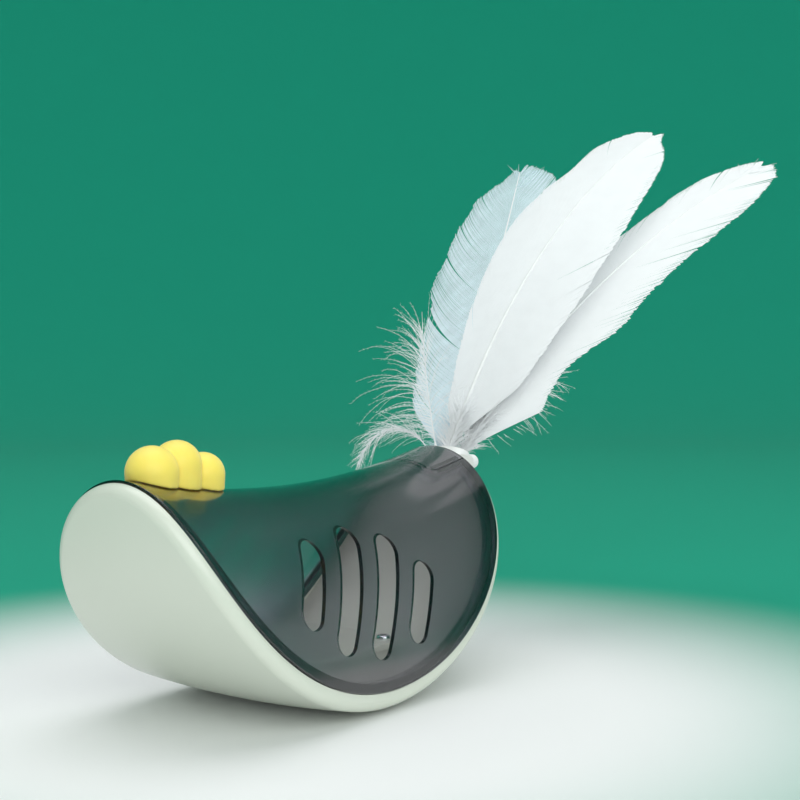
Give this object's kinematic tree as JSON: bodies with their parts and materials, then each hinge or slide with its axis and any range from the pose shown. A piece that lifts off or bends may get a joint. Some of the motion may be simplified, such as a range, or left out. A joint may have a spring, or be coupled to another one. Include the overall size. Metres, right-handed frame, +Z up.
{
  "type": "swinging treat cat toy",
  "caption": "Rocking treat dispenser for a cat: weighted white rocker under a smoky saddle-shaped cover with treat slots, yellow soft comb and tail of white feathers.",
  "frame": {"origin": "lowest point of the rocker, where it touches the floor at rest", "axes": "+X from the comb end to the feather end, +Z up, +Y across the body"},
  "size_m": [0.2723, 0.1399, 0.1879],
  "materials": {
    "white_plastic": "satin",
    "smoky_plastic": "glossy, translucent smoke grey",
    "yellow_silicone": "soft matt",
    "weight_steel": "plain",
    "foam": "open-cell foam",
    "screw_steel": "zinc plated",
    "feather": "white goose feather",
    "down": "white down"
  },
  "bodies": {
    "base": {"rocker_shell": "white_plastic", "counterweight": "weight_steel", "weight_pad": "foam", "weight_lid": "white_plastic", "weight_lid_screws": "screw_steel"},
    "cover": {"smoky_cover": "smoky_plastic"},
    "panel": {"refill_panel": "smoky_plastic"},
    "comb_body": {"comb": "yellow_silicone"},
    "tail": {"feather_holder": "white_plastic", "centre_feather": "feather", "right_feather": "feather", "left_feather": "feather", "curled_down_feather": "down", "upright_down_feather": "down"}
  },
  "joints": [
    {"name": "cover_lift", "type": "slide", "parent": "base", "child": "cover", "axis": [0, 0, 1], "range_m": [0, 0.06]},
    {"name": "panel_lift", "type": "slide", "parent": "cover", "child": "panel", "axis": [0, 0, 1], "range_m": [0, 0.02]},
    {"name": "comb_pull", "type": "slide", "parent": "cover", "child": "comb_body", "axis": [0, 0, 1], "range_m": [0, 0.015]},
    {"name": "feather_pull", "type": "slide", "parent": "base", "child": "tail", "axis": [1, 0, 0], "range_m": [0, 0.012]}
  ]
}
